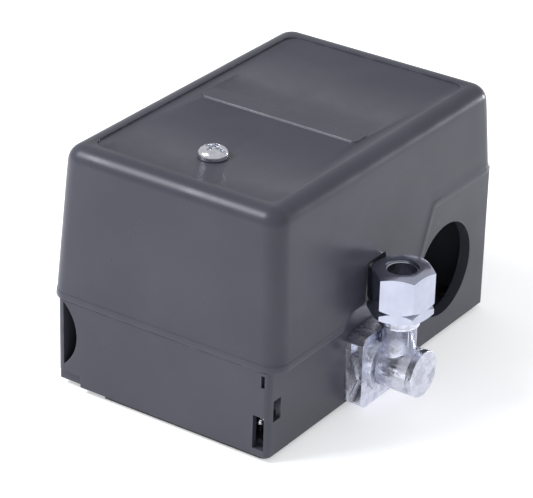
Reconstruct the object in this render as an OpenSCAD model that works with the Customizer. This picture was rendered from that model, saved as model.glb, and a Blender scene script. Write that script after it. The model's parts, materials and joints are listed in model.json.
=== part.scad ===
// Air-compressor pressure switch: diaphragm actuated, two poles, with a side
// unloader valve. Origin at the centre of the pressure port, on the underside.
// +Z up, +X towards the unloader valve, -Y towards the front.

/* [Cover] */
// Width of the cover at its lower edge
cover_w = 60.6; // [60:0.1:62]
// Length of the cover at its lower edge
cover_l = 90; // [89.8:0.1:92]
// Height of the top of the cover
cover_top = 57.2; // [57:0.1:64]
// Wall thickness of the cover
cover_wall = 1.8; // [1.4:0.1:1.8]
// Radius of the rounding round the top of the cover
cover_round = 3.4; // [2.5:0.1:4]
// How far each side of the cover leans in over its height
cover_lean_x = 2.2; // [1.5:0.1:2.2]
// How far the front and the back of the cover lean in over its height
cover_lean_y = 2; // [1.5:0.1:2]

/* [Base] */
// Width of the base
base_w = 56.2; // [56:0.1:56.6]
// Length of the base
base_l = 88.5; // [88:0.1:88.8]
// Thickness of the side walls of the base
base_wall = 2.6; // [2.4:0.1:2.8]
// Thickness of the floor of the base
floor_t = 2.5; // [2:0.1:2.5]
// Thickness of the steel bottom plate
plate_t = 1.2; // [1:0.1:1.2]
// Radius of the conduit hole in each side wall
conduit_r = 11.3; // [10:0.1:11.5]
// Distance from the port's axis back to the conduit holes
conduit_y = 25; // [25:0.1:26]
// Height of the conduit holes' centre
conduit_z = 17.4; // [17:0.1:18]

/* [Pressure side] */
// Radius of the threaded pressure port
port_r = 5.7; // [4:0.1:6.5]
// Radius of the port flange, the diaphragm and the clamp ring
flange_r = 18; // [17.5:0.1:18]
// Thickness of the rubber diaphragm
diaphragm_t = 1; // [0.8:0.1:1]

/* [Lever] */
// Distance from the port's axis back to the lever's pivot
pivot_y = 10.5; // [10:0.1:10.5]
// Radius of the pivot pin
pin_r = 2; // [1.6:0.1:2.2]
// Thickness of the lever plate
lever_t = 2; // [1.6:0.1:2]

/* [Unloader valve] */
// Distance of the valve's axis from the port's axis, front to back
valve_y = -6.5; // [-7:0.1:-6.5]
// Height of the valve's axis
valve_z = 9.6; // [9.6:0.1:10]
// Radius of the valve's horizontal barrel
barrel_r = 5.3; // [5:0.1:5.5]
// Distance of the outlet's axis from the port's axis
outlet_x = 36; // [36:0.1:37]
// Width across the flats of the compression nut
nut_af = 12.7; // [12.4:0.1:13.5]
// Radius of the tube that the compression nut takes
tube_r = 3.2; // [3:0.05:3.2]

/* [Hidden] */
$fn = 48;
eps = 0.01;
far = 200;
plastic = [0.16, 0.16, 0.18];
phenolic = [0.1, 0.09, 0.09];
zinc = [0.72, 0.73, 0.76];
steel = [0.62, 0.63, 0.65];
dark_steel = [0.2, 0.2, 0.21];
brass = [0.78, 0.62, 0.3];
rubber = [0.07, 0.07, 0.07];

// Line of the cover's lower edge, as [y, z] points from the front to the back
edge_low = 21.6;
edge_mid = 24.8;
edge_high = 36.2;
edge_line = [
    [-far, edge_low], [-19.9, edge_low], [-16.2, edge_mid], [11.3, edge_mid], [18.1, edge_high], [far, edge_high]
];
edge_gap = 0.15;

// Stack of the pressure side, from the underside upwards
floor_z = plate_t + floor_t;
flange_z = 11.2;
ring_z = flange_z + diaphragm_t;
ring_t = 2.5;
ring_top = ring_z + ring_t;
chamber_r = 12;
boss_r = 14;
flange_screw_pcd = 15.2;

// Lever
lever_z = 18.7;
lever_top = lever_z + lever_t;
pivot_z = lever_z + lever_t / 2;
lever_half = 14;
run_gap = 0.05;

// Lever bracket
bracket_in = 20;
bracket_t = 1.5;
bracket_z = 36;
bracket_top = bracket_z + 2;

// Range spring and its seat
range_r = 6.4;
range_wire = 1.7;
seat_z = 30.8;
seat_t = 3;
range_thread_r = 3;

// Cover post and screw
post_y = -26.2;
post_r = 3;
post_top = cover_top - cover_wall - 0.25;
screw_r = 1.75;
screw_hole_r = screw_r + 0.3;
panel_depth = 0.5;
head_z = cover_top - panel_depth;

// Contacts
pole_x = 11;
block_z = 24.8;
block_t = 4;
block_top = block_z + block_t;
strip_t = 1;
button_t = 0.8;
button_r = 1.5;
bridge_reach = 3.6;
bridge_z = block_top + strip_t + button_t + 0.1;
bridge_top = bridge_z + 1.5;
cap_z = bridge_top + 3;
carrier_z = lever_top + 0.4;
block_screw_spots = [[23.6, -40.5], [-17.5, -38.6], [19, -15.5], [-19, -15.5]];
block_screw_tip = 4.2;
block_screw_cone = 3.4;
block_screw_r = 1.4;
terminal_screw_y = [-35.2, -17.2];

// Unloader valve, along its own axis
wall_x = base_w / 2;
neck_r = 4.5;
flange_out = wall_x + 4.4;
outlet_r = 3.9;
collar_r = 4.45;
neck_in = 22.4;
barrel_end = 42.8;
chamber_in = 27;
chamber_out = 39.8;
valve_bore_r = 3.4;
pin_bore_r = 1.6;
pin_tip = 20.5;
nut_low = 22.7;
nut_top = 33.6;
nut_turn = 23;

// Notch in the cover's right side that the nut stands in, closed inside by a tab of the base
notch_half = 5.1;
notch_top = nut_top + 0.4;
tab_half = notch_half + 1.2;
tab_top = notch_top + 1.4;

// Plane where the base's side walls meet its floor, front and back
split_x = base_w / 2 - base_wall;

module at_each(spots) {
    for (p = spots) translate([p[0], p[1], 0]) children();
}

// Rectangle with rounded corners, centred
module round_rect(w, l, r) {
    square([w - 2 * r, l], center = true);
    square([w, l - 2 * r], center = true);
    for (sx = [-1, 1], sy = [-1, 1]) translate([sx * (w / 2 - r), sy * (l / 2 - r)]) circle(r);
}

module round_box(w, l, r, z0, z1) {
    translate([0, 0, z0]) linear_extrude(z1 - z0) round_rect(w, l, r);
}

module block(x0, x1, y0, y1, z0, z1) {
    translate([x0, y0, z0]) cube([x1 - x0, y1 - y0, z1 - z0]);
}

module rod(r, z0, z1) {
    translate([0, 0, z0]) cylinder(r = r, h = z1 - z0);
}

// Rod along X at the valve's height
module valve_rod(r, x0, x1) {
    translate([x0, valve_y, valve_z]) rotate([0, 90, 0]) cylinder(r = r, h = x1 - x0);
}

// Everything below the cover's edge line, moved up by rise
module below_edge(rise) {
    outline = concat([for (p = edge_line) [p[0], p[1] + rise]], [[far, -1], [-far, -1]]);
    translate([-far / 2, 0, 0]) rotate([90, 0, 90]) linear_extrude(far) polygon(outline);
}

// Coil with flat ends: an arc section, turned as it rises
module coil(r, wire, height, turns, steps = 12) {
    sweep = 360 * wire * turns / height * 0.94;
    parts = 7;
    outer = [for (i = [0:parts]) let (a = sweep * i / parts) r * [cos(a), sin(a)]];
    inner = [for (i = [parts:-1:0]) let (a = sweep * i / parts) (r - wire) * [cos(a), sin(a)]];
    linear_extrude(height, twist = -360 * turns, slices = ceil(turns * steps), $fn = 12) {
        polygon(concat(outer, inner));
    }
}

// Pan head with its shank below
module pan_screw(head_r, head_h, shank_r, top, length, slot = 0.9) {
    difference() {
        union() {
            rod(head_r, top, top + head_h);
            rod(shank_r, top - length, top + eps);
        }
        block(-head_r, head_r, -slot / 2, slot / 2, top + head_h * 0.45, top + head_h + 1);
    }
}

// Drafted shell form: a rounded top above a wider, open lower edge
module cover_form(inset, drop) {
    w = cover_w / 2 - inset;
    l = cover_l / 2 - inset;
    r = max(cover_round - inset, 0.8);
    top = cover_top - drop;
    hull() {
        for (sx = [-1, 1], sy = [-1, 1]) {
            translate([sx * (w - r), sy * (l - r), edge_low - drop]) cylinder(r = r, h = 0.1, $fn = 32);
            translate([sx * (w - cover_lean_x - r), sy * (l - cover_lean_y - r), top - r]) sphere(r, $fn = 32);
        }
    }
}

module cover() {
    panel_w = cover_w - 2 * cover_lean_x - 9;
    panel_l = cover_l - 2 * cover_lean_y - 11;
    color(plastic) difference() {
        union() {
            difference() {
                cover_form(0, 0);
                cover_form(cover_wall, cover_wall);
                below_edge(0);
                block(26, far, valve_y - notch_half, valve_y + notch_half, 0, notch_top);
                round_box(panel_w, panel_l, 3, cover_top - panel_depth, cover_top + 1);
            }
            round_box(41, 5.4, 1.2, cover_top - panel_depth - eps, cover_top - 0.1);
            translate([0, post_y, 0]) rod(5, cover_top - cover_wall - eps, head_z);
        }
        translate([0, post_y, 0]) rod(screw_hole_r, 50, 60);
    }
}

module cover_screw() {
    color(steel) translate([0, post_y, 0]) difference() {
        union() {
            rod(3.35, head_z, head_z + 1.5);
            translate([0, 0, head_z + 1.5]) cylinder(r1 = 3.35, r2 = 2.2, h = 0.8);
            rod(screw_r, 42, head_z + eps);
        }
        block(-4, 4, -0.55, 0.55, head_z + 1, head_z + 3);
        block(-0.55, 0.55, -2, 2, head_z + 1, head_z + 3);
    }
}

module cover_post() {
    color(steel) translate([0, post_y, 0]) difference() {
        rod(post_r, floor_z, post_top);
        rod(screw_hole_r, 40, post_top + 1);
    }
}

// Outside of the base: the walls up to the cover's edge and the tongue that stands up inside it
module base_outside() {
    tongue = block_z - edge_low;
    intersection() {
        round_box(base_w, base_l, 1.5, plate_t, edge_high + 1);
        below_edge(-edge_gap);
    }
    intersection() {
        round_box(base_w - 2.8, base_l - 5.2, 1.2, plate_t, edge_high + 6);
        below_edge(tongue);
    }
}

// Hollow of the base, less the corner block and the bosses that the contact block is screwed to
module base_inside() {
    half = split_x + 1;
    difference() {
        union() {
            intersection() {
                block(-half, half, -41.4, 41.4, floor_z, far);
                below_edge(-3);
            }
            block(-half, half, -40.4, 40.4, floor_z, far);
        }
        block(19.6, 30, -50, -36.2, 0, block_z);
        at_each([for (i = [1:3]) block_screw_spots[i]]) rod(3.2, 0, block_z);
    }
}

module base_holes() {
    at_each(block_screw_spots) rod(block_screw_r + 0.1, floor_z + 0.3, block_z + 1);
    // Screw pocket in the front right corner, with its window, side slot and front slit
    block(21.2, 26.9, -42.8, -37.4, floor_z, 10.65);
    block(24.1, 26.9, -50, -42, 2.7, 10.65);
    block(25.4, 30, -42.5, -39.8, 9.4, 14.4);
    block(26, 26.9, -50, -43, 17.8, 20.7);
    // D-shaped opening for an optional hand lever, in the front left corner
    intersection() {
        translate([-32.8, -36, 13.4]) rotate([90, 0, 0]) cylinder(r = 10.1, h = 20);
        block(-26.3, -10, -60, -30, 0, 60);
    }
    block(-far, -21.8, -50, -43.2, 0, 3.9);
    rod(flange_r + 0.4, 0, floor_z + 1);
    translate([-far / 2, conduit_y, conduit_z]) rotate([0, 90, 0]) cylinder(r = conduit_r, h = far);
    valve_rod(neck_r + 0.1, 20, far);
    at_each(rivet_spots) rod(1.6, 0, floor_z + 1);
    at_each(bracket_screw_spots) rod(1.6, 0, floor_z + 1);
    at_each(ground_spots) rod(2, 0, floor_z + 1);
}

module base_housing() {
    color(plastic) difference() {
        intersection() {
            base_outside();
            block(-split_x, split_x, -far, far, 0, far);
        }
        base_inside();
        base_holes();
    }
}

module side_wall_right() {
    color(plastic) difference() {
        union() {
            intersection() {
                base_outside();
                block(split_x, far, -far, far, 0, far);
            }
            block(split_x, base_w / 2 - 1.4, valve_y - tab_half, valve_y + tab_half, edge_mid, tab_top);
        }
        base_holes();
    }
}

module side_wall_left() {
    color(plastic) difference() {
        intersection() {
            base_outside();
            block(-far, -split_x, -far, far, 0, far);
        }
        base_holes();
    }
}

rivet_spots = [[-22, 38], [22, 38], [-9, -37], [10, -37]];
bracket_screw_spots = [[-23.5, 10.5], [23.5, 10.5]];
ground_spots = [[-9, 32], [9, 32]];

module bottom_plate() {
    color(dark_steel) difference() {
        round_box(base_w - 2, base_l - 2, 2, 0, plate_t);
        block(-far, -15.8, -far, -38, -1, 5);
        rod(boss_r + 0.3, -1, 5);
        at_each(flange_spots()) rod(1.6, -1, 5);
        at_each(rivet_spots) rod(1.6, -1, 5);
        at_each(bracket_screw_spots) rod(1.6, -1, 5);
        at_each(ground_spots) rod(2, -1, 5);
    }
}

module plate_rivets() {
    color(dark_steel) at_each(rivet_spots) {
        rod(1.5, 0.1, floor_z + eps);
        rod(2.6, floor_z, floor_z + 1);
    }
}

function flange_spots() = [for (a = [0:60:300]) flange_screw_pcd * [cos(a), sin(a)]];

module port_flange() {
    color(zinc) difference() {
        union() {
            rod(boss_r, 0, plate_t + eps);
            rod(flange_r, plate_t, flange_z);
        }
        rod(port_r, -1, flange_z - 2);
        rod(2.5, 0, flange_z + 1);
        rod(chamber_r, flange_z - 0.8, flange_z + 1);
        at_each(flange_spots()) rod(1.6, -1, flange_z + 1);
    }
}

module diaphragm() {
    color(rubber) difference() {
        union() {
            rod(flange_r, flange_z, ring_z);
            rod(7, ring_z - eps, ring_z + 0.4);
        }
        at_each(flange_spots()) rod(1.6, flange_z - 1, ring_z + 1);
    }
}

module clamp_ring() {
    color(steel) difference() {
        rod(flange_r, ring_z, ring_top);
        rod(chamber_r, ring_z - 1, ring_top + 1);
        at_each(flange_spots()) rod(1.6, ring_z - 1, ring_top + 1);
    }
}

module flange_screws() {
    color(steel) at_each(flange_spots()) pan_screw(2.6, 1.7, 1.5, ring_top, ring_top - 0.3);
}

module piston() {
    color(zinc) {
        rod(6, ring_z + 0.5, 15.4);
        rod(2.6, 15.3, 17.2);
        rod(1.2, 17.1, lever_z - 0.2);
    }
}

// Upright cheek on one side of the lever, with its foot; dir is its side
module side_cheek(dir) {
    near = dir * bracket_in;
    out = dir * (bracket_in + bracket_t);
    foot = dir * 25.3;
    block(min(near, out), max(near, out), 6, 14, floor_z, bracket_z);
    block(min(near, out), max(near, out), -8, 14, 27, bracket_z);
    block(min(near, foot), max(near, foot), 6, 14, floor_z, floor_z + bracket_t);
}

module side_cheeks() {
    color(steel) difference() {
        union() {
            side_cheek(-1);
            side_cheek(1);
        }
        translate([-30, pivot_y, pivot_z]) rotate([0, 90, 0]) cylinder(r = pin_r + 0.02, h = 60);
        at_each(bracket_screw_spots) rod(1.6, 0, 10);
    }
}

module top_bridge() {
    out = bracket_in + bracket_t;
    color(steel) difference() {
        block(-out, out, -8, 14, bracket_z, bracket_top);
        rod(range_thread_r + run_gap, 30, 40);
    }
}

module bracket_screws() {
    color(steel) at_each(bracket_screw_spots) {
        pan_screw(1.75, 1.4, 1.4, floor_z + bracket_t, floor_z + bracket_t - 0.2, 0.6);
    }
}

module pivot_pin() {
    color(steel) translate([0, pivot_y, pivot_z]) rotate([0, 90, 0]) {
        rod(pin_r, -22.6, 22.6);
        rod(pin_r + 0.9, -22.6, -21.6);
        rod(pin_r + 0.9, 21.6, 22.6);
    }
}

module main_lever() {
    ear = 1.6;
    color(steel) difference() {
        union() {
            block(-lever_half, lever_half, -30.5, 7, lever_z, lever_top);
            for (s = [-1, 1]) {
                middle = s * (lever_half - ear / 2);
                block(middle - ear / 2, middle + ear / 2, 2, 14, 16.4, 23);
            }
        }
        translate([-30, pivot_y, pivot_z]) rotate([0, 90, 0]) cylinder(r = pin_r + run_gap, h = 60);
        block(-4.6, 4.6, -40, -20.5, 10, 30);
    }
}

// Bent tab with a ramp that pushes the valve's pin outwards as the lever rises
module valve_cam() {
    ramp = 0.7;
    face_x = 20.35;
    tab_x = 19.4;
    low = 6.4;
    color(steel) {
        block(11, tab_x, valve_y - 2.5, valve_y + 2.5, lever_top, lever_top + 1.2);
        block(tab_x - 1.2, tab_x, valve_y - 2.5, valve_y + 2.5, low, lever_top + 1.2);
        translate([0, valve_y + 1.5, 0]) rotate([90, 0, 0]) linear_extrude(3) polygon([
            [tab_x - eps, valve_z - 1.1 + (face_x - tab_x) / ramp],
            [tab_x - eps, low],
            [face_x + (valve_z - 1.1 - low) * ramp, low]
        ]);
    }
}

module range_spring() {
    color(steel) translate([0, 0, lever_top]) coil(range_r, range_wire, seat_z - lever_top, 3.5);
}

module spring_seat() {
    color(steel) difference() {
        union() {
            block(-19.6, 19.6, -5, 5, seat_z, seat_z + seat_t);
            rod(7, seat_z, seat_z + seat_t);
        }
        rod(range_thread_r + run_gap, 20, 40);
    }
}

module range_screw() {
    color(brass) difference() {
        union() {
            rod(range_thread_r, 25.5, bracket_top + eps);
            translate([0, 0, bracket_top]) cylinder(r = 5, h = 4.5, $fn = 6);
        }
        block(-6, 6, -0.6, 0.6, bracket_top + 2.8, 50);
        translate([0, 0, bracket_z - 1]) difference() {
            rod(4, -0.5, 0.5);
            rod(2.4, -1, 1);
        }
    }
}

module range_clip() {
    color(steel) difference() {
        rod(5, bracket_z - 1.45, bracket_z - 0.55);
        rod(2.5, 30, 40);
        block(-1.6, 1.6, 0, 10, 30, 40);
    }
}

module contact_block() {
    color(phenolic) difference() {
        union() {
            block(-22.3, 22.3, -41, -12.3, block_z, block_top);
            block(19, 26, -42.6, -36, block_z, block_top);
            block(-4.8, 4.8, -40, -12.3, block_z, 37);
            for (s = [-1, 1]) block(s * 18 - 0.7, s * 18 + 0.7, -34, -20, block_z, 34);
        }
        at_each([for (s = [-1, 1]) [s * pole_x, post_y]]) block(-1.8, 1.8, -1.5, 1.5, 0, far);
        translate([0, post_y, 0]) rod(post_r + 0.4, 0, far);
        at_each(block_screw_spots) rod(1.6, 0, far);
        at_each([for (s = [-1, 1], y = terminal_screw_y) [s * pole_x, y]]) rod(2, 25.5, 29);
    }
}

module block_screws() {
    color(steel) at_each(block_screw_spots) {
        pan_screw(1.9, 1.6, block_screw_r, block_top, block_top - block_screw_tip - block_screw_cone, 0.7);
        translate([0, 0, block_screw_tip]) cylinder(r1 = 0.15, r2 = block_screw_r, h = block_screw_cone + eps);
    }
}

module contact_carrier() {
    color(phenolic) difference() {
        union() {
            block(-14, 14, post_y - 5, post_y + 5, carrier_z, lever_top + 1.5);
            at_each([for (s = [-1, 1]) [s * pole_x, post_y]]) block(-1.5, 1.5, -1.1, 1.1, carrier_z, cap_z + 1);
        }
        translate([0, post_y, 0]) rod(post_r + 0.6, 0, far);
    }
}

module contact_bridges() {
    color(brass) at_each([for (s = [-1, 1]) [s * pole_x, post_y]]) difference() {
        union() {
            block(-3.1, 3.1, -5.2, 5.2, bridge_z + 0.7, bridge_top);
            for (s = [-1, 1]) translate([0, s * bridge_reach, 0]) rod(button_r, bridge_z, bridge_z + 0.8);
        }
        block(-1.6, 1.6, -1.2, 1.2, 0, far);
    }
}

module contact_springs() {
    color(steel) at_each([for (s = [-1, 1]) [s * pole_x, post_y]]) {
        translate([0, 0, bridge_top]) coil(2.7, 0.55, cap_z - bridge_top, 3, 8);
    }
}

module carrier_caps() {
    color(phenolic) at_each([for (s = [-1, 1]) [s * pole_x, post_y]]) difference() {
        rod(3.1, cap_z, cap_z + 1.6);
        block(-1.5, 1.5, -1.1, 1.1, 0, cap_z + 1);
    }
}

// One pair of fixed terminals, on the side of the poles given by dir
module terminals(dir, screw_y) {
    inner = post_y + dir * (bridge_reach - 1.6);
    outer = post_y + dir * 12.2;
    color(brass) at_each([for (s = [-1, 1]) [s * pole_x, 0]]) difference() {
        union() {
            block(-3.5, 3.5, min(inner, outer), max(inner, outer), block_top, block_top + strip_t);
            translate([0, post_y + dir * bridge_reach, block_top]) rod(button_r, 0, strip_t + button_t);
        }
        translate([0, screw_y, 0]) rod(1.75, 0, far);
    }
}

module line_terminals() {
    terminals(-1, terminal_screw_y[0]);
}

module load_terminals() {
    terminals(1, terminal_screw_y[1]);
}

module terminal_clamps() {
    low = block_top + strip_t + 0.3;
    color(steel) at_each([for (s = [-1, 1], y = terminal_screw_y) [s * pole_x, y]]) difference() {
        block(-3.3, 3.3, -2.9, 2.9, low, low + 0.9);
        rod(1.75, 0, far);
    }
}

module terminal_screws() {
    color(brass) at_each([for (s = [-1, 1], y = terminal_screw_y) [s * pole_x, y]]) {
        pan_screw(2.8, 1.8, 1.7, block_top + strip_t + 1.2, 5, 0.8);
    }
}

module ground_screws() {
    color([0.1, 0.42, 0.2]) at_each(ground_spots) difference() {
        union() {
            translate([0, 0, floor_z]) cylinder(r = 4.2, h = 2.6, $fn = 6);
            rod(1.9, 0.2, floor_z + eps);
        }
        block(-5, 5, -0.5, 0.5, floor_z + 1.6, 10);
    }
}

// Square mounting flange with broken corners; on its front side a spanner recess and a slanting groove
module valve_flange() {
    half = 8.7;
    corner = 1.6;
    low = valve_z - half;
    top = valve_z + half;
    face = valve_y - half;
    difference() {
        translate([wall_x, 0, 0]) rotate([90, 0, 90]) linear_extrude(flange_out - wall_x) polygon([
            [face, low + corner], [face, top - corner], [face + corner, top], [-face + 2 * valve_y - corner, top],
            [-face + 2 * valve_y, top - corner], [-face + 2 * valve_y, low + corner],
            [-face + 2 * valve_y - corner, low], [face + corner, low]
        ]);
        block(wall_x + 1.4, wall_x + 3.5, face - 1, face + 1.2, 13.9, 16.6);
        translate([wall_x + 2.6, face, 5]) rotate([0, 21, 0]) block(-0.7, 0.7, -1, 0.9, -6, 3.4);
    }
}

module valve_body() {
    color(zinc) difference() {
        union() {
            valve_rod(neck_r, neck_in, wall_x + 1);
            valve_flange();
            valve_rod(6.9, flange_out - 0.1, flange_out + 1);
            valve_rod(4.9, flange_out + 0.8, flange_out + 2);
            valve_rod(barrel_r, flange_out + 1.7, barrel_end - 1.6);
            translate([outlet_x, valve_y, 0]) {
                rod(outlet_r, valve_z, nut_low + 1);
                rod(collar_r, nut_low - 1.7, nut_low - 0.5);
                rod(5, nut_low + 0.25, 29.6);
            }
        }
        valve_rod(valve_bore_r, chamber_in, barrel_end);
        valve_rod(pin_bore_r, 0, chamber_in + 1);
        translate([outlet_x, valve_y, 0]) rod(2.2, valve_z, 40);
        translate([outlet_x, valve_y, 0]) rod(tube_r + 0.5, 25, 40);
    }
}

module valve_locknut() {
    color(steel) difference() {
        translate([22.6, valve_y, valve_z]) rotate([0, 90, 0]) rotate(30) cylinder(r = 6.6, h = 2.8, $fn = 6);
        valve_rod(neck_r, 20, 30);
    }
}

module valve_pin() {
    color(brass) {
        valve_rod(pin_bore_r - 0.1, pin_tip, 28);
        valve_rod(2.9, chamber_in + 0.65, 29.5);
    }
}

module valve_seal() {
    color(rubber) difference() {
        valve_rod(2.7, chamber_in + 0.05, chamber_in + 0.65);
        valve_rod(pin_bore_r - 0.1, 20, 30);
    }
}

module valve_spring() {
    color(steel) translate([29.5, valve_y, valve_z]) rotate([0, 90, 0]) coil(2.8, 0.7, chamber_out - 29.5, 5, 8);
}

module valve_plug() {
    color(zinc) {
        valve_rod(barrel_r, barrel_end - 1.6, barrel_end);
        valve_rod(valve_bore_r - 0.02, chamber_out, barrel_end - 1);
    }
}

module ferrule() {
    color(steel) translate([outlet_x, valve_y, 0]) difference() {
        rod(tube_r + 0.4, 28.6, 33.1);
        rod(tube_r, 20, 40);
    }
}

module compression_nut() {
    corner_r = nut_af / 2 / cos(30);
    groove_z = nut_low + 2.4;
    color(zinc) translate([outlet_x, valve_y, 0]) difference() {
        intersection() {
            translate([0, 0, nut_low]) rotate(nut_turn) cylinder(r = corner_r, h = nut_top - nut_low, $fn = 6);
            rotate_extrude() polygon([
                [0, nut_low], [nut_af / 2 - 0.3, nut_low], [corner_r + 0.2, nut_low + 0.75],
                [corner_r + 0.2, nut_top - 0.75], [nut_af / 2 - 0.3, nut_top], [0, nut_top]
            ]);
        }
        rotate_extrude() polygon([
            [corner_r + 1, groove_z - 1.5], [corner_r - 0.9, groove_z], [corner_r + 1, groove_z + 1.5]
        ]);
        rod(5 + run_gap, nut_low - 1, 30.2);
        rod(tube_r + 0.5, 25, nut_top + 1);
    }
}

cover();
cover_screw();
cover_post();
base_housing();
side_wall_right();
side_wall_left();
bottom_plate();
plate_rivets();
port_flange();
diaphragm();
clamp_ring();
flange_screws();
piston();
side_cheeks();
top_bridge();
bracket_screws();
pivot_pin();
main_lever();
valve_cam();
range_spring();
spring_seat();
range_screw();
range_clip();
contact_block();
block_screws();
contact_carrier();
contact_bridges();
contact_springs();
carrier_caps();
line_terminals();
load_terminals();
terminal_clamps();
terminal_screws();
ground_screws();
valve_body();
valve_locknut();
valve_pin();
valve_seal();
valve_spring();
valve_plug();
ferrule();
compression_nut();
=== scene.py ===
"""Looks of an air-compressor pressure switch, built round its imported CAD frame.

Everything is in metres in the CAD frame: +Z up, +X towards the unloader valve, -Y towards the front, with the
origin at the centre of the pressure port on the underside.
"""

import json
import math

import bmesh
import bpy
from mathutils import Matrix, Vector


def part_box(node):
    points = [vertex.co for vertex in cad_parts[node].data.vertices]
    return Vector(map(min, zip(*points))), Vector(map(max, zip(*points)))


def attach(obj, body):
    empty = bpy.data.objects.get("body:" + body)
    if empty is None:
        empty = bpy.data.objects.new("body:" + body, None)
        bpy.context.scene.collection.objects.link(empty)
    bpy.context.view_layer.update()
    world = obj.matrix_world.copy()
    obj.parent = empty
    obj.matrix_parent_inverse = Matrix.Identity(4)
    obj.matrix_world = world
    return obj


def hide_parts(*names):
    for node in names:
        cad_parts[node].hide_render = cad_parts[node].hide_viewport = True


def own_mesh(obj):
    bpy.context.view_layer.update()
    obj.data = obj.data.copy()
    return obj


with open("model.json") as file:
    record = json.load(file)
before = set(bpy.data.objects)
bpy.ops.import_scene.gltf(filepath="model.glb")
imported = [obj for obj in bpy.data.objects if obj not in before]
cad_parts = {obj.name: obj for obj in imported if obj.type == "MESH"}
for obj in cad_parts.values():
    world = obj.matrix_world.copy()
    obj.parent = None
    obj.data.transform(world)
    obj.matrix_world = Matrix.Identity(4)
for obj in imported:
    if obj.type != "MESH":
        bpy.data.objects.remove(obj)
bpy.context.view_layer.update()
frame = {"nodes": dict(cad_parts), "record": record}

MM = 0.001
RECORD = frame["record"]
BODY_OF = {node: body for body, nodes in RECORD["behaviour"]["bodies"].items() for node in nodes}
SLOT_OF = {part["node"]: part["material_slot"] for part in RECORD["subparts"]}


# ---------------------------------------------------------------- camera, light and floor

LIGHT_TARGET = Vector((0, 0, 0.03))
LIGHT_COLOUR = (0.92, 0.94, 1)
FLOOR_HALF = 6
FLOOR_Z = -0.0002


def make_camera():
    """The photograph's viewing angle: well above and to the right of the front, with a long lens."""
    place = (0.29827, -0.44651, 0.30047)
    azimuth = math.radians(34.05)
    elevation = math.radians(27.25)
    roll = math.radians(1.564)
    forward = Vector((
        -math.sin(azimuth) * math.cos(elevation),
        math.cos(azimuth) * math.cos(elevation),
        -math.sin(elevation),
    ))
    right = forward.cross(Vector((0, 0, 1))).normalized()
    up = right.cross(forward)
    camera_x = right * math.cos(roll) + up * math.sin(roll)
    camera_y = up * math.cos(roll) - right * math.sin(roll)
    turn = Matrix((camera_x, camera_y, -forward)).transposed().to_4x4()
    data = bpy.data.cameras.new("camera")
    data.sensor_width = 36
    data.lens = 182.73
    data.clip_start = 0.01
    camera = bpy.data.objects.new("camera", data)
    camera.matrix_world = Matrix.Translation(place) @ turn
    bpy.context.scene.collection.objects.link(camera)
    bpy.context.scene.camera = camera


def make_light(name, place, size, power):
    data = bpy.data.lights.new(name, "AREA")
    data.shape = "RECTANGLE"
    data.size, data.size_y = size
    data.energy = power
    data.color = LIGHT_COLOUR
    light = bpy.data.objects.new(name, data)
    light.location = place
    light.rotation_mode = "QUATERNION"
    light.rotation_quaternion = (LIGHT_TARGET - Vector(place)).to_track_quat("-Z", "Y")
    bpy.context.scene.collection.objects.link(light)


def make_studio():
    """Soft light from all round, one low lamp for the nut's shadow and one large lamp for the front."""
    world = bpy.data.worlds.new("studio")
    world.use_nodes = True
    background = world.node_tree.nodes["Background"].inputs
    background["Color"].default_value = (0.97, 0.98, 1, 1)
    background["Strength"].default_value = 0.64
    bpy.context.scene.world = world
    bpy.context.scene.view_settings.view_transform = "Standard"
    make_light("low_back_right", place=(0.40, 0.92, 0.07), size=(0.14, 0.1), power=3.4)
    make_light("soft_front_left", place=(-0.42, -0.40, 0.66), size=(0.36, 0.34), power=6)


def make_floor():
    """A plain pale sheet, just under the object."""
    corners = [(x * FLOOR_HALF, y * FLOOR_HALF, 0) for x, y in ((-1, -1), (1, -1), (1, 1), (-1, 1))]
    mesh = bpy.data.meshes.new("floor")
    mesh.from_pydata(corners, [], [(0, 1, 2, 3)])
    floor = bpy.data.objects.new("floor", mesh)
    floor.location.z = FLOOR_Z
    bpy.context.scene.collection.objects.link(floor)
    paint = bpy.data.materials.new("pale_floor")
    paint.use_nodes = True
    shader = paint.node_tree.nodes["Principled BSDF"].inputs
    shader["Base Color"].default_value = (0.94, 0.94, 0.945, 1)
    shader["Roughness"].default_value = 0.9
    shader["Emission Color"].default_value = (1, 1, 1, 1)
    shader["Emission Strength"].default_value = 0.42
    mesh.materials.append(paint)


# ---------------------------------------------------------------- materials

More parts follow.
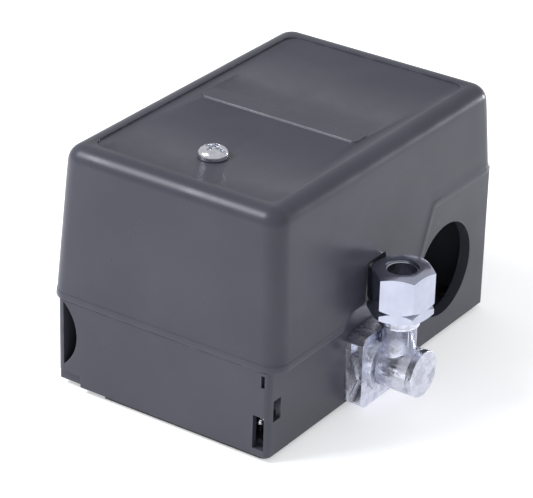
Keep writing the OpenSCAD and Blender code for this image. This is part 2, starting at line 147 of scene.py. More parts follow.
class Paint:
    """A procedural material: layers of noise feed a Principled shader's colour, roughness and bump."""

    def __init__(self, name, metallic=0.0, specular=0.5):
        self.material = bpy.data.materials.new(name)
        self.material.use_nodes = True
        self.tree = self.material.node_tree
        self.shader = self.tree.nodes["Principled BSDF"]
        self.shader.inputs["Metallic"].default_value = metallic
        self.shader.inputs["Specular IOR Level"].default_value = specular
        self.place = self.node("ShaderNodeTexCoord").outputs["Object"]

    def node(self, kind, inputs=None, **settings):
        """A new node, with each input linked to a socket or set to a value."""
        made = self.tree.nodes.new(kind)
        for key, value in settings.items():
            setattr(made, key, value)
        for key, value in (inputs or {}).items():
            if isinstance(value, bpy.types.NodeSocket):
                self.tree.links.new(value, made.inputs[key])
            else:
                made.inputs[key].default_value = value
        return made

    def stretched(self, scale):
        """Object coordinates squeezed by scale along each axis."""
        return self.node("ShaderNodeMapping", {"Vector": self.place, "Scale": scale}).outputs["Vector"]

    def noise(self, scale, detail=3, rough=0.55, warp=0.0, place=None):
        inputs = {
            "Vector": place or self.place, "Scale": scale, "Detail": detail, "Roughness": rough,
            "Distortion": warp,
        }
        return self.node("ShaderNodeTexNoise", inputs).outputs["Fac"]

    def cells(self, scale):
        """Distance to the nearest of a field of scattered points."""
        return self.node("ShaderNodeTexVoronoi", {"Vector": self.place, "Scale": scale}).outputs["Distance"]

    def spread(self, value, low, high, to_low=0.0, to_high=1.0):
        """Maps low..high of value onto to_low..to_high."""
        inputs = {
            "Value": value, "From Min": low, "From Max": high, "To Min": to_low, "To Max": to_high,
        }
        return self.node("ShaderNodeMapRange", inputs, interpolation_type="SMOOTHSTEP").outputs["Result"]

    def math(self, operation, first, second):
        return self.node("ShaderNodeMath", {0: first, 1: second}, operation=operation).outputs["Value"]

    def mix(self, share, first, second):
        """Colour between first and second."""
        made = self.node("ShaderNodeMix", data_type="RGBA")
        for key, value in (("Factor", share), ("A", first), ("B", second)):
            socket = next(s for s in made.inputs if s.name == key and s.enabled)
            if isinstance(value, bpy.types.NodeSocket):
                self.tree.links.new(value, socket)
            elif key == "Factor":
                socket.default_value = value
            else:
                socket.default_value = (*value, 1)
        return next(s for s in made.outputs if s.enabled)

    def edges(self, radius):
        """1 on edges tighter than about radius, falling to 0 on flat faces."""
        rounded = self.node("ShaderNodeBevel", {"Radius": radius}, samples=4).outputs["Normal"]
        true = self.node("ShaderNodeNewGeometry").outputs["Normal"]
        same = self.node("ShaderNodeVectorMath", {0: rounded, 1: true}, operation="DOT_PRODUCT")
        return self.spread(same.outputs["Value"], 0.995, 0.86)

    def finish(self, colour, roughness, *bumps):
        """bumps are (height, distance in metres) pairs, coarse to fine."""
        self.tree.links.new(colour, self.shader.inputs["Base Color"])
        self.tree.links.new(roughness, self.shader.inputs["Roughness"])
        normal = None
        for height, distance in bumps:
            bump = self.node("ShaderNodeBump", {"Height": height, "Distance": distance})
            if normal:
                self.tree.links.new(normal, bump.inputs["Normal"])
            normal = bump.outputs["Normal"]
        if normal:
            self.tree.links.new(normal, self.shader.inputs["Normal"])
        return self.material


def black_plastic():
    """Moulded ABS: charcoal with a violet cast, fine spark-eroded grain, rubbed edges and a few dust specks."""
    paint = Paint("black_plastic", specular=0.3)
    cloud = paint.spread(paint.noise(45, 4), 0.32, 0.68)
    flow = paint.spread(paint.noise(14, 2, warp=1.5, place=paint.stretched((1, 0.35, 1))), 0.35, 0.65)
    base = paint.mix(cloud, (0.046, 0.047, 0.062), (0.054, 0.055, 0.071))
    base = paint.mix(paint.math("MULTIPLY", flow, 0.25), base, (0.061, 0.062, 0.078))
    rub = paint.math("MULTIPLY", paint.edges(0.0006), paint.spread(paint.noise(260, 4), 0.42, 0.66))
    base = paint.mix(paint.math("MULTIPLY", rub, 0.35), base, (0.19, 0.19, 0.21))
    rare = paint.spread(paint.noise(22, 1), 0.60, 0.62)
    speck = paint.math("MULTIPLY", paint.spread(paint.cells(150), 0.035, 0.02), rare)
    base = paint.mix(speck, base, (0.55, 0.55, 0.58))
    grain = paint.noise(2600, 2)
    smear = paint.spread(paint.noise(70, 4, warp=0.8), 0.3, 0.7, 0.27, 0.36)
    return paint.finish(base, smear, (paint.noise(60, 2), 0.00006), (grain, 0.000012))


def phenolic():
    """Compression-moulded phenolic: brown-black with wood-flour flecks and a glossy skin."""
    paint = Paint("phenolic", specular=0.5)
    fleck = paint.spread(paint.cells(900), 0.12, 0.3)
    base = paint.mix(fleck, (0.075, 0.058, 0.048), (0.030, 0.026, 0.025))
    base = paint.mix(paint.spread(paint.noise(120, 4), 0.45, 0.7), base, (0.050, 0.043, 0.040))
    base = paint.mix(paint.math("MULTIPLY", paint.edges(0.0003), 0.4), base, (0.14, 0.12, 0.11))
    shine = paint.spread(paint.noise(180, 4), 0.3, 0.7, 0.22, 0.42)
    return paint.finish(base, shine, (paint.noise(900, 3), 0.00002))


def zinc_cast():
    """Die-cast zinc with a nickel flash: lumpy casting skin, dull patches, bright rubbed edges."""
    paint = Paint("zinc_cast", metallic=1.0)
    patch = paint.spread(paint.noise(320, 5, 0.6, 0.9), 0.36, 0.62)
    base = paint.mix(patch, (0.54, 0.55, 0.63), (0.72, 0.74, 0.84))
    stain = paint.spread(paint.noise(700, 4, 0.6, 0.5), 0.56, 0.70)
    base = paint.mix(paint.math("MULTIPLY", stain, 0.4), base, (0.22, 0.22, 0.25))
    base = paint.mix(paint.math("MULTIPLY", paint.edges(0.00035), 0.7), base, (0.86, 0.87, 0.92))
    rough = paint.spread(paint.noise(450, 4), 0.3, 0.7, 0.20, 0.42)
    lumps = (paint.noise(380, 3), 0.00018)
    return paint.finish(base, rough, lumps, (paint.noise(1700, 3), 0.00004))


def plated_nut():
    """Bright nickel on machined brass: long drawing lines on the flats and soft plating haze."""
    paint = Paint("plated_nut", metallic=1.0)
    haze = paint.spread(paint.noise(160, 3), 0.3, 0.7)
    base = paint.mix(haze, (0.44, 0.455, 0.55), (0.51, 0.53, 0.63))
    spots = paint.spread(paint.noise(1200, 2), 0.66, 0.74)
    base = paint.mix(paint.math("MULTIPLY", spots, 0.3), base, (0.34, 0.35, 0.4))
    lines = paint.noise(900, 3, place=paint.stretched((1, 1, 0.06)))
    rough = paint.spread(lines, 0.3, 0.7, 0.15, 0.26)
    return paint.finish(base, rough, (paint.noise(150, 2), 0.00006), (lines, 0.000012))


def zinc_steel():
    """Pressed steel with clear zinc plating: rolling lines, faint yellow and blue bloom."""
    paint = Paint("zinc_steel", metallic=1.0)
    bloom = paint.spread(paint.noise(70, 3, warp=1.2), 0.35, 0.65)
    base = paint.mix(bloom, (0.56, 0.57, 0.62), (0.66, 0.64, 0.57))
    base = paint.mix(paint.math("MULTIPLY", paint.edges(0.0003), 0.5), base, (0.8, 0.8, 0.82))
    lines = paint.noise(1400, 3, place=paint.stretched((1, 0.05, 1)))
    rough = paint.spread(lines, 0.3, 0.7, 0.28, 0.44)
    return paint.finish(base, rough, (paint.noise(240, 3), 0.00003), (lines, 0.00001))


def black_steel():
    """Near-black sheet steel for the bottom plate: cloudy dark film, worn to grey along its edges; its
    near-black tone keeps the strip under the base walls dark.
    """
    paint = Paint("black_steel", metallic=0.6, specular=0.4)
    cloud = paint.spread(paint.noise(90, 4, warp=0.6), 0.35, 0.65)
    # near-black tone that keeps the strip under the base walls dark
    base = paint.mix(cloud, (0.028, 0.028, 0.031), (0.052, 0.052, 0.056))
    worn = paint.math("MULTIPLY", paint.edges(0.0004), paint.spread(paint.noise(500, 3), 0.4, 0.6))
    base = paint.mix(worn, base, (0.24, 0.24, 0.25))
    rough = paint.spread(paint.noise(240, 4), 0.3, 0.7, 0.38, 0.56)
    return paint.finish(base, rough, (paint.noise(700, 3), 0.00002))


def turned_metal(name, dark, light, rough_low, rough_high):
    """Small turned or headed pieces: colour haze and fine tool marks."""
    paint = Paint(name, metallic=1.0)
    base = paint.mix(paint.spread(paint.noise(500, 4), 0.35, 0.65), dark, light)
    worn = tuple(min(1, c * 1.2) for c in light)
    base = paint.mix(paint.math("MULTIPLY", paint.edges(0.0002), 0.4), base, worn)
    marks = paint.noise(2600, 3, place=paint.stretched((1, 1, 0.3)))
    rough = paint.spread(marks, 0.3, 0.7, rough_low, rough_high)
    return paint.finish(base, rough, (marks, 0.00001))


def spring_steel():
    return turned_metal("spring_steel", (0.26, 0.26, 0.28), (0.44, 0.44, 0.46), 0.22, 0.4)


def screw_steel():
    return turned_metal("screw_steel", (0.66, 0.67, 0.71), (0.80, 0.81, 0.84), 0.12, 0.26)


def brass():
    return turned_metal("brass", (0.62, 0.44, 0.18), (0.80, 0.62, 0.30), 0.18, 0.34)


def copper_strip():
    return turned_metal("copper_strip", (0.58, 0.32, 0.19), (0.78, 0.50, 0.34), 0.2, 0.36)


def rubber_black():
    """Nitrile rubber: matt, slightly bloomed."""
    paint = Paint("rubber_black", specular=0.3)
    bloom = paint.spread(paint.noise(150, 4), 0.4, 0.7)
    base = paint.mix(bloom, (0.020, 0.020, 0.021), (0.050, 0.050, 0.052))
    rough = paint.spread(paint.noise(400, 3), 0.3, 0.7, 0.6, 0.8)
    return paint.finish(base, rough, (paint.noise(1500, 3), 0.00002))


def ground_green():
    """Green dye over zinc plating, worn on the corners."""
    paint = Paint("ground_green", metallic=1.0)
    base = paint.mix(paint.spread(paint.noise(400, 3), 0.35, 0.65), (0.03, 0.22, 0.07), (0.06, 0.36, 0.13))
    base = paint.mix(paint.edges(0.0003), base, (0.5, 0.55, 0.5))
    rough = paint.spread(paint.noise(900, 3), 0.3, 0.7, 0.25, 0.42)
    return paint.finish(base, rough, (paint.noise(1200, 2), 0.00001))


MAKERS = (black_plastic, phenolic, zinc_cast, plated_nut, zinc_steel, spring_steel, screw_steel, brass,
          copper_strip, rubber_black, ground_green, black_steel)
MATERIALS = {maker.__name__: maker() for maker in MAKERS}


# ---------------------------------------------------------------- mesh tools

MERGE_DISTANCE = 2e-6
FLAT_ANGLE = math.radians(0.6)
BEVEL_SEGMENTS = 2
THREAD_STEPS_PER_TURN = 8


def smooth(mesh, angle=28):
    """Smooth shading with edges sharper than angle degrees kept crisp."""
    mesh.shade_smooth()
    mesh.set_sharp_from_angle(angle=math.radians(angle))


def stand_in(mesh, *nodes):
    """Puts mesh in the scene in place of CAD nodes, on their body and in their material."""
    piece = bpy.data.objects.new(mesh.name, mesh)
    bpy.context.scene.collection.objects.link(piece)
    mesh.materials.clear()
    mesh.materials.append(MATERIALS[SLOT_OF[nodes[0]]])
    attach(piece, BODY_OF[nodes[0]])
    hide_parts(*nodes)
    return piece


def mesh_from(name, verts, faces):
    mesh = bpy.data.meshes.new(name)
    mesh.from_pydata(verts, [], faces)
    mesh.validate()
    return mesh


def bmesh_to_mesh(name, bm):
    bmesh.ops.recalc_face_normals(bm, faces=bm.faces)
    mesh = bpy.data.meshes.new(name)
    bm.to_mesh(mesh)
    bm.free()
    return mesh


def copied(node):
    """A clean copy of the node's mesh, its triangles merged back into flat faces."""
    source = frame["nodes"][node].data
    raw = mesh_from(node + "_raw", [v.co for v in source.vertices], [list(p.vertices) for p in source.polygons])
    return cleaned(node + "_finished", raw)


def cleaned(name, raw):
    """Replaces the mesh raw by one with its points merged and its flat triangles joined."""
    bm = bmesh.new()
    bm.from_mesh(raw)
    bpy.data.meshes.remove(raw)
    bmesh.ops.remove_doubles(bm, verts=bm.verts, dist=MERGE_DISTANCE)
    bmesh.ops.dissolve_limit(bm, angle_limit=FLAT_ANGLE, verts=bm.verts, edges=bm.edges)
    return bmesh_to_mesh(name, bm)


def break_edges(piece, width, angle):
    """Rounds the edges of piece where its faces turn by more than angle degrees."""
    bevel = piece.modifiers.new("broken_edges", "BEVEL")
    bevel.width = width
    bevel.segments = BEVEL_SEGMENTS
    bevel.limit_method = "ANGLE"
    bevel.angle_limit = math.radians(angle)
    return bevel


def finished(node, width, *merged):
    """The node's own shape with the broken edges that moulding, casting or tumbling leaves on it.

    The nodes in merged are moulded in one with it, so they are joined to it without a seam.
    """
    piece = stand_in(copied(node), node, *merged)
    if merged:
        combine(piece, [copied(other) for other in merged], "UNION")
        piece.data = cleaned(node + "_whole", piece.data.copy())
        piece.data.materials.append(MATERIALS[SLOT_OF[node]])
    smooth(piece.data)
    bevel = break_edges(piece, width, 32)
    bevel.miter_outer = "MITER_ARC"
    bevel.harden_normals = True
    return piece


def grid(name, rows):
    """A closed skin through rows of points, all of one length, with a flat face on each end."""
    verts = [point for row in rows for point in row]
    count = len(rows[0])
    faces = [list(range(count))[::-1], [(len(rows) - 1) * count + i for i in range(count)]]
    for r in range(len(rows) - 1):
        for i in range(count):
            j = (i + 1) % count
            faces.append([r * count + i, r * count + j, (r + 1) * count + j, (r + 1) * count + i])
    raw = mesh_from(name + "_raw", verts, faces)
    bm = bmesh.new()
    bm.from_mesh(raw)
    mesh = bmesh_to_mesh(name, bm)
    bpy.data.meshes.remove(raw)
    return mesh


def rings(profile, sides):
    """Round rings of points in millimetres about Z, one for each (radius, height) of profile."""
    turns = [math.tau * i / sides for i in range(sides)]
    return [[Vector((r * math.cos(turn), r * math.sin(turn), z)) for turn in turns] for r, z in profile]


def hexagon_ring(corner_radius, height, sides):
    ring = []
    for i in range(sides):
        angle = math.tau * i / sides
        off_flat = (angle % math.radians(60)) - math.radians(30)
        r = corner_radius * math.cos(math.radians(30)) / math.cos(off_flat)
        ring.append(Vector((r * math.cos(angle), r * math.sin(angle), height)))
    return ring


def threaded(radius, low, high, pitch, depth, sides):
    """Rings of a screw thread from low to high, running out at both ends."""
    rows = []
    count = max(2, round((high - low) / pitch * THREAD_STEPS_PER_TURN))
    for k in range(count + 1):
        z = low + (high - low) * k / count
        fade = max(0.0, min(1.0, (z - low) / pitch, (high - z) / pitch))
        ring = []
        for i in range(sides):
            phase = (z / pitch - i / sides) % 1
            ridge = 1 - abs(2 * phase - 1)
            r = radius - depth * (1 - ridge) * fade
            angle = math.tau * i / sides
            ring.append(Vector((r * math.cos(angle), r * math.sin(angle), z)))
        rows.append(ring)
    return rows


def skin(name, rows, centre=(0, 0, 0)):
    """The closed skin through rows given in millimetres about centre."""
    return grid(name, [[(p + Vector(centre)) * MM for p in row] for row in rows])


def turned(name, profile, centre, sides=40):
    """A closed turned shape: profile is (radius, height) in millimetres from one end to the other."""
    return skin(name, rings(profile, sides), centre)


def box_mesh(name, low, high):
    bm = bmesh.new()
    bmesh.ops.create_cube(bm, size=1)
    for v in bm.verts:
        v.co = Vector([low[k] + (high[k] - low[k]) * (v.co[k] + 0.5) for k in range(3)]) * MM
    return bmesh_to_mesh(name, bm)


def joined(name, meshes):
    bm = bmesh.new()
    for mesh in meshes:
        bm.from_mesh(mesh)
        bpy.data.meshes.remove(mesh)
    return bmesh_to_mesh(name, bm)


def bake(piece):
    """Replaces piece's mesh by what its modifiers make of it."""
    graph = bpy.context.evaluated_depsgraph_get()
    made = bpy.data.meshes.new_from_object(piece.evaluated_get(graph))
    made.name = piece.name
    piece.modifiers.clear()
    old = piece.data
    piece.data = made
    bpy.data.meshes.remove(old)


def combine(piece, tools, operation="DIFFERENCE"):
    """Takes the tool meshes out of piece's mesh, or joins them to it."""
    for mesh in tools:
        tool = bpy.data.objects.new("tool", mesh)
        bpy.context.scene.collection.objects.link(tool)
        boolean = piece.modifiers.new("combine", "BOOLEAN")
        boolean.object = tool
        boolean.operation = operation
        boolean.solver = "EXACT"
        bake(piece)
        bpy.data.objects.remove(tool)
        bpy.data.meshes.remove(mesh)


# ---------------------------------------------------------------- cover

def interpolate(points, x):
    """Height at x of the line through points."""
    for (x0, y0), (x1, y1) in zip(points, points[1:]):
        if x <= x1:
            return y0 + (y1 - y0) * max(0.0, x - x0) / (x1 - x0)
    return points[-1][1]


# Sizes in millimetres, as in the CAD source.
# The cover's lower edge as (y, z) from front to back; it steps up past the valve and the conduit hole
EDGE = [(-60, 21.6), (-19.9, 21.6), (-16.2, 24.8), (11.3, 24.8), (18.1, 36.2), (60, 36.2)]
PLAN_R = 4.4
FILLET_R = 3.4
WALL = 1.8
# How much the walls lean inwards from the lowest edge to the top, in x and y
LEAN = (2.2, 2.0)
# The lip along the lower edge: how far it stands out and how high it is
LIP = 0.12
LIP_H = 1.7
# Sunk panel and blank raised bar on the top: half width, half length, corner radius, depth or height
PANEL = (23.6, 37.5, 3.0, 0.5)
BAR = (20.5, 2.7, 1.2, 0.4)
CORNER_STEPS = 8
ROOF_STEPS = 6
FILLET_STEPS = 8
# Further points along the sides, besides the corners of the edge line
SIDE_Y = (-36, -30, -24.5, -18.4, -12, -6, 0, 5, 7.6, 12.5, 15, 21, 26, 32, 37)
SCREW_Y = -26.2
SCREW_HOLE_R = 2.05
# The round hollow that gives the compression nut room
NUT_AXIS = (36, -6.5, 0)
NUT_ROOM_R = 7.55
NUT_ROOM_TOP = 33.9


def slope_shift():
    """How far each corner of the edge line moves forward for each millimetre that the line is raised."""
    shifts = {}
    for (y0, z0), (y1, z1) in ((EDGE[1], EDGE[2]), (EDGE[3], EDGE[4])):
        shift = math.tan(math.atan2(z1 - z0, y1 - y0) / 2)
        shifts[y0] = shift
        shifts[y1] = shift
    return shifts


SLOPE_SHIFT = slope_shift()


def raised_edge(drop):
    """The edge line moved up by drop, with its corners shifted so that the slopes stay parallel."""
    return [(y - drop * SLOPE_SHIFT.get(y, 0), z + drop) for y, z in EDGE]


class Cover:
    """The lid's size, and rings of points on its skin."""

    def __init__(self):
        low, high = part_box("cover")
        self.half = ((high.x - low.x) / 2 / MM, (high.y - low.y) / 2 / MM)
        self.low = low.z / MM
        self.top = high.z / MM
        self.flat = (self.half[0] - PLAN_R, self.half[1] - PLAN_R)
        self.breaks = {y for y, z in EDGE[1:-1]}
        self.side_y = sorted([*self.breaks, *SIDE_Y])
        self.end_x = [x * self.flat[0] / 6 for x in range(-5, 6)]

    def half_at(self, z):
        """Half width and half length of the outer wall at height z."""
        rise = (z - self.low) / (self.top - self.low)
        return self.half[0] - LEAN[0] * rise, self.half[1] - LEAN[1] * rise

    def ring(self, inset, height, radius, drop=0.0, follow=0.0):
        return Ring(self, inset, height, radius, drop, follow).points()

    def level_ring(self, half_x, half_y, radius, z):
        """A flat ring with the same number of points as the others, with given half sizes."""
        own_x, own_y = self.half_at(z)
        flat_x = own_x - radius
        flat_y = own_y - radius
        made = []
        for point in self.ring(0, z, radius):
            x, y = abs(point.x) / MM, abs(point.y) / MM
            new_x = min(x, flat_x) / flat_x * (half_x - radius) + max(0.0, x - flat_x)
            new_y = min(y, flat_y) / flat_y * (half_y - radius) + max(0.0, y - flat_y)
            made.append(Vector((math.copysign(new_x, point.x), math.copysign(new_y, point.y), z)) * MM)
        return made


class Ring:
    """A ring on the lid's skin, inset from the outer wall, with the given corner radius.

    It lies level at height; with follow up to 1 it takes the shape of the lower edge line raised by drop.
    """

    def __init__(self, cover, inset, height, radius, drop, follow):
        self.cover = cover
        self.inset = inset
        self.height = height
        self.radius = radius
        self.drop = drop
        self.follow = follow

    def size_at(self, y):
        """Half width, half length and height of the ring where it passes y."""
        edge = interpolate(raised_edge(self.drop), y)
        z = edge * self.follow + self.height * (1 - self.follow)
        half_x, half_y = self.cover.half_at(z)
        return half_x - self.inset, half_y - self.inset, z

    def on_side(self, sign, y):
        if self.follow and y in self.cover.breaks:
            y -= self.drop * SLOPE_SHIFT[y] * self.follow
        half_x, half_y, z = self.size_at(y)
        squeeze = min(1.0, (half_y - self.radius) / self.cover.flat[1])
        return Vector((sign * half_x, y * squeeze, z)) * MM

    def on_end(self, sign, x):
        half_x, half_y, z = self.size_at(sign * self.cover.half[1])
        squeeze = min(1.0, (half_x - self.radius) / self.cover.flat[0])
        return Vector((x * squeeze, sign * half_y, z)) * MM

    def on_corner(self, sign_x, sign_y, turn):
        half_x, half_y, z = self.size_at(sign_y * self.cover.half[1])
        x = sign_x * (half_x - self.radius) + self.radius * math.cos(turn)
        y = sign_y * (half_y - self.radius) + self.radius * math.sin(turn)
        return Vector((x, y, z)) * MM

    def points(self):
        """All the way round, anticlockwise from the front of the right side."""
        side_y, end_x = self.cover.side_y, self.cover.end_x
        sides = (
            [self.on_side(1, y) for y in side_y], [self.on_end(1, x) for x in reversed(end_x)],
            [self.on_side(-1, y) for y in reversed(side_y)], [self.on_end(-1, x) for x in end_x],
        )
        corners = ((1, 1), (-1, 1), (-1, -1), (1, -1))
        made = []
        for quarter, (side, signs) in enumerate(zip(sides, corners)):
            made += side
            for step in range(CORNER_STEPS + 1):
                made.append(self.on_corner(*signs, math.radians(90 * (quarter + step / CORNER_STEPS))))
        return made


def cover_rows(cover):
    """Rings from the middle of the roof's underside out and down, round the rim, up and over the top."""
    top = cover.top
    start = top - FILLET_R
    rows = []
    # Inside, from the roof down to the rim
    inner_r = FILLET_R - WALL
    for step in range(ROOF_STEPS, -1, -1):
        turn = math.radians(90 * step / ROOF_STEPS)
        inset = inner_r * (1 - math.cos(turn))
        corner_r = max(0.6, PLAN_R - WALL - inset)
        rows.append(cover.ring(WALL + LIP + inset, start + inner_r * math.sin(turn), corner_r))
    for share in (0.8, 0.5, 0.2):
        rows.append(cover.ring(WALL + LIP, start, PLAN_R - WALL, 0.2, follow=1 - share))
    # Round the rim and up over the lip
    rim = [(WALL, 0.15), (WALL - 0.15, 0), (0.2, 0), (0.06, 0.06), (0, 0.2), (0, LIP_H - 0.18),
           (0.05, LIP_H - 0.05), (LIP - 0.04, LIP_H + 0.04), (LIP, LIP_H + 0.2)]
    for inset, drop in rim:
        rows.append(cover.ring(inset, 0, PLAN_R - inset, drop, follow=1))
    # Up the wall and over the fillet
    for share in (0.15, 0.35, 0.55, 0.75, 0.9):
        rows.append(cover.ring(LIP, start, PLAN_R - LIP, LIP_H + 0.2, follow=1 - share))
    for step in range(FILLET_STEPS + 1):
        turn = math.radians(90 * step / FILLET_STEPS)
        inset = LIP + FILLET_R * (1 - math.cos(turn))
        rows.append(cover.ring(inset, start + FILLET_R * math.sin(turn), PLAN_R - inset + LIP))
    # Panel: a shallow step down all round, and a blank raised bar in its middle
    half_x, half_y, radius, depth = PANEL
    for inset, z in ((-0.12, top), (0, top - 0.08), (0.05, top - depth + 0.08), (0.17, top - depth)):
        rows.append(cover.level_ring(half_x - inset, half_y - inset, radius - inset, z))
    half_x, half_y, radius, rise = BAR
    for inset, z in ((-0.12, 0), (0, 0.1), (0.06, rise - 0.12), (0.2, rise)):
        rows.append(cover.level_ring(half_x - inset, half_y - inset, radius - inset, top - depth + z))
    return rows


def make_cover():
    cover = Cover()
    mesh = grid("cover_shell", cover_rows(cover))
    piece = stand_in(mesh, "cover")
    smooth(mesh, 40)
    hole = turned("hole_cutter", [(SCREW_HOLE_R, 50), (SCREW_HOLE_R, 60)], (0, SCREW_Y, 0))
    nut_room = turned("nut_room", [(NUT_ROOM_R, 10), (NUT_ROOM_R, NUT_ROOM_TOP)], NUT_AXIS, 64)
    combine(piece, [hole, nut_room])


# ---------------------------------------------------------------- screws and springs

SCREW_SIDES = 32
BLOCK_SCREW_SIDES = 24
RANGE_SCREW_SIDES = 48
DOME_STEPS = 7
BLOCK_SCREWS = ((23.6, -40.5), (-17.5, -38.6), (19, -15.5), (-19, -15.5))
CONTACT_POLE_X = 11
COIL_STEPS_PER_TURN = 28
WIRE_SIDES = 10
CLOSED_TURNS = 0.75


def dome(radius, low, high):
    """Profile of a pan head from its underside up to the middle of its crown."""
    crown = low + (high - low) * 0.35
    points = [(radius - 0.15, low), (radius, low + 0.15), (radius, crown)]
    for k in range(1, DOME_STEPS + 1):
        turn = math.radians(90 * k / DOME_STEPS)
        points.append((max(0.05, radius * math.cos(turn) ** 0.8), crown + (high - crown) * math.sin(turn)))
    return points


def screw_mesh(name, centre, tip, shank_r, thread, head, pitch, sides=SCREW_SIDES):
    """A screw from its tip's profile over a thread from low to high to its head's profile."""
    low, high = thread
    body = threaded(shank_r, low, high, pitch, pitch * 0.5, sides)
    return skin(name, rings(tip, sides) + body + rings(head, sides), centre)


def make_cover_screw():
    """Pan head with a crossed slot, on a plain neck and a threaded end."""
    low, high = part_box("cover_screw")
    head_h = 2.3
    head_z = high.z / MM - head_h
    tip_z = low.z / MM
    neck_r = 1.7
    mesh = screw_mesh(
        "cover_screw_pan", (0, SCREW_Y, 0), tip=[(1.0, tip_z), (1.45, tip_z + 0.5)], shank_r=1.75,
        thread=(tip_z + 0.6, head_z - 4),
        head=[(neck_r, head_z - 3.8), (neck_r, head_z - 0.05), (3.0, head_z),
              *dome(3.35, head_z + 0.02, head_z + head_h)],
        pitch=0.8,
    )
    piece = stand_in(mesh, "cover_screw")
    slot_z = head_z + 1.05
    above = head_z + 3
    combine(piece, [
        box_mesh("slot", (-4, SCREW_Y - 0.5, slot_z), (4, SCREW_Y + 0.5, above)),
        box_mesh("slot", (-0.5, SCREW_Y - 1.9, slot_z), (0.5, SCREW_Y + 1.9, above)),
    ])
    smooth(piece.data, 30)
    break_edges(piece, 0.12 * MM, 50)


def make_springs():
    """Round wire coils in place of the CAD's plain ones, at the same height and diameter."""
    coil = helix("range_spring", "range_spring_wire", "Z", [(0, 0, 0)], wire=1.55, turns=3.6)
    low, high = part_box("range_spring")
    shorten(coil)
    poles = [(x, SCREW_Y, 0) for x in (-CONTACT_POLE_X, CONTACT_POLE_X)]
    helix("contact_springs", "contact_spring_wires", "Z", poles, wire=0.55, turns=3.4)
    low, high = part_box("valve_spring")
    middle = (low + high) / 2 / MM
    coil = helix("valve_spring", "valve_spring_wire", "X", [(0, middle.y, middle.z)], wire=0.65, turns=5.4)
    shorten(coil)


def shorten(coil):
    """Gives the coil its own copy of its mesh; its length is left as made."""
    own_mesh(coil)


def helix(node, name, axis, centres, wire, turns):
    """Coils with closed ends, as long and as wide as the node, one about each of centres."""
    low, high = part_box(node)
    along = "XYZ".index(axis)
    start, end = low[along] / MM + wire / 2, high[along] / MM - wire / 2
    coil_r = ((high[1] - low[1]) / MM - wire) / 2
    closed = CLOSED_TURNS / turns
    steps = round(turns * COIL_STEPS_PER_TURN)
    rows = []
    for k in range(steps + 1):
        share = k / steps
        climb = min(1.0, max(0.0, (share - closed) / (1 - 2 * closed)))
        lift = wire * 0.25 * (min(share, closed) / closed + max(0.0, share - 1 + closed) / closed)
        travel = start + lift + (end - start - wire * 0.5) * climb
        angle = math.tau * turns * share
        out = Vector((math.cos(angle), math.sin(angle), 0))
        middle = out * coil_r + Vector((0, 0, travel))
        rows.append([
            middle + (out * math.cos(t) + Vector((0, 0, 1)) * math.sin(t)) * wire / 2
            for t in (math.tau * i / WIRE_SIDES for i in range(WIRE_SIDES))
        ])
    if axis == "X":
        rows = [[Vector((p.z, p.x, p.y)) for p in row] for row in rows]
    mesh = joined(name, [skin(name + "_part", rows, centre) for centre in centres])
    piece = stand_in(mesh, node)
    smooth(mesh, 60)
    return piece


def make_range_screw():
    """Hexagon-headed adjusting screw with a slot and a real thread."""
    low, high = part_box("range_screw")
    head = 38.0
    head_r = 5
    top = high.z / MM
    bottom = low.z / MM
    shank_r = 2.98
    groove_r = 2.35
    sides = RANGE_SCREW_SIDES
    rows = [
        *rings([(4.2, head)], sides), hexagon_ring(4.85, head + 0.25, sides),
        hexagon_ring(head_r, head + 0.26, sides), hexagon_ring(head_r, top - 0.55, sides),
        *rings([(4.25, top)], sides),
    ]
    head_mesh = skin("head", rows)
    rows = rings([(2.2, bottom)], sides) + threaded(shank_r, bottom + 0.4, 35.0, 1.0, 0.5, sides)
    rows += rings([(groove_r, 35.3), (groove_r, 36.9), (shank_r, 37.1), (shank_r, head + 0.1)], sides)
    mesh = joined("range_screw_threaded", [head_mesh, skin("shank", rows)])
    piece = stand_in(mesh, "range_screw")
    combine(piece, [box_mesh("slot", (-6, -0.6, top - 1.7), (6, 0.6, top + 1))])
    smooth(piece.data, 30)


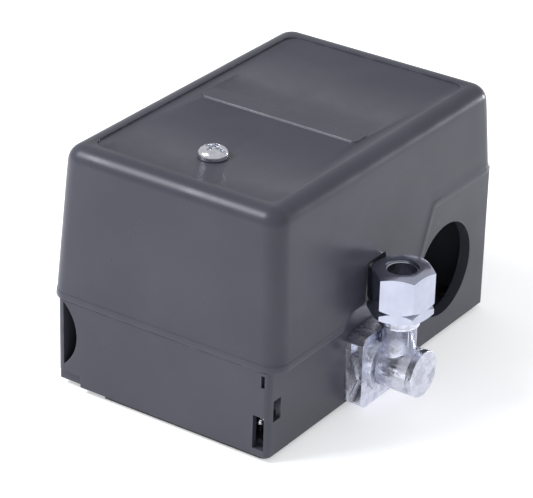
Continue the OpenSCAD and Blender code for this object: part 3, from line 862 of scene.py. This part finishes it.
def make_block_screws():
    """Self-tapping screws that hold the contact block; one tip shows in the front corner's pocket."""
    low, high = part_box("block_screws")
    head_z = 28.8
    tip_z = low.z / MM
    head = [(1.38, head_z - 0.05), (1.6, head_z), *dome(1.9, head_z + 0.02, head_z + 1.6)]
    mesh = joined("block_screws_tapping", [
        screw_mesh("screw", (x, y, 0), tip=[(0.12, tip_z), (1.0, tip_z + 2.1)], shank_r=1.4,
                   thread=(tip_z + 3.0, head_z - 1), head=head, pitch=1.1, sides=BLOCK_SCREW_SIDES)
        for x, y in BLOCK_SCREWS
    ])
    piece = stand_in(mesh, "block_screws")
    combine(piece, [
        box_mesh("slot", (x - 3, y - 0.35, head_z + 0.75), (x + 3, y + 0.35, head_z + 2))
        for x, y in BLOCK_SCREWS
    ])
    smooth(piece.data, 30)


# ---------------------------------------------------------------- the other pieces

# Profile of the turned ring just below the nut, as (radius, height)
COLLAR = ((3.6, 20.1), (4.3, 20.15), (4.45, 20.3), (4.45, 21.0), (4.3, 21.15), (3.6, 21.2))


def make_valve_body():
    """The cast elbow, with a turned ring standing out just below the nut."""
    piece = finished("valve_body", 0.25 * MM)
    bake(piece)
    combine(piece, [turned("collar", COLLAR, NUT_AXIS, 48)], "UNION")
    smooth(piece.data)


# Width in millimetres of the rounding on each carried-over shape's edges
EDGE_WIDTHS = {
    "cover_post": 0.3, "bottom_plate": 0.25, "plate_rivets": 0.3, "port_flange": 0.35,
    "diaphragm": 0.2, "clamp_ring": 0.2, "flange_screws": 0.25, "piston": 0.2, "side_cheeks": 0.2,
    "top_bridge": 0.2, "bracket_screws": 0.2, "pivot_pin": 0.2, "main_lever": 0.2, "valve_cam": 0.12,
    "spring_seat": 0.25, "range_clip": 0.12, "contact_block": 0.3, "contact_carrier": 0.15,
    "contact_bridges": 0.12, "carrier_caps": 0.25, "line_terminals": 0.12, "load_terminals": 0.12,
    "terminal_clamps": 0.15, "terminal_screws": 0.25, "ground_screws": 0.25, "valve_locknut": 0.2,
    "valve_pin": 0.15, "valve_seal": 0.1, "valve_plug": 0.15, "ferrule": 0.1, "compression_nut": 0.2,
}


def main():
    make_camera()
    make_studio()
    make_floor()
    make_cover()
    make_cover_screw()
    make_springs()
    make_range_screw()
    make_block_screws()
    make_valve_body()
    finished("base_housing", 0.35 * MM, "side_wall_right", "side_wall_left")
    for node, width in EDGE_WIDTHS.items():
        finished(node, width * MM)


main()
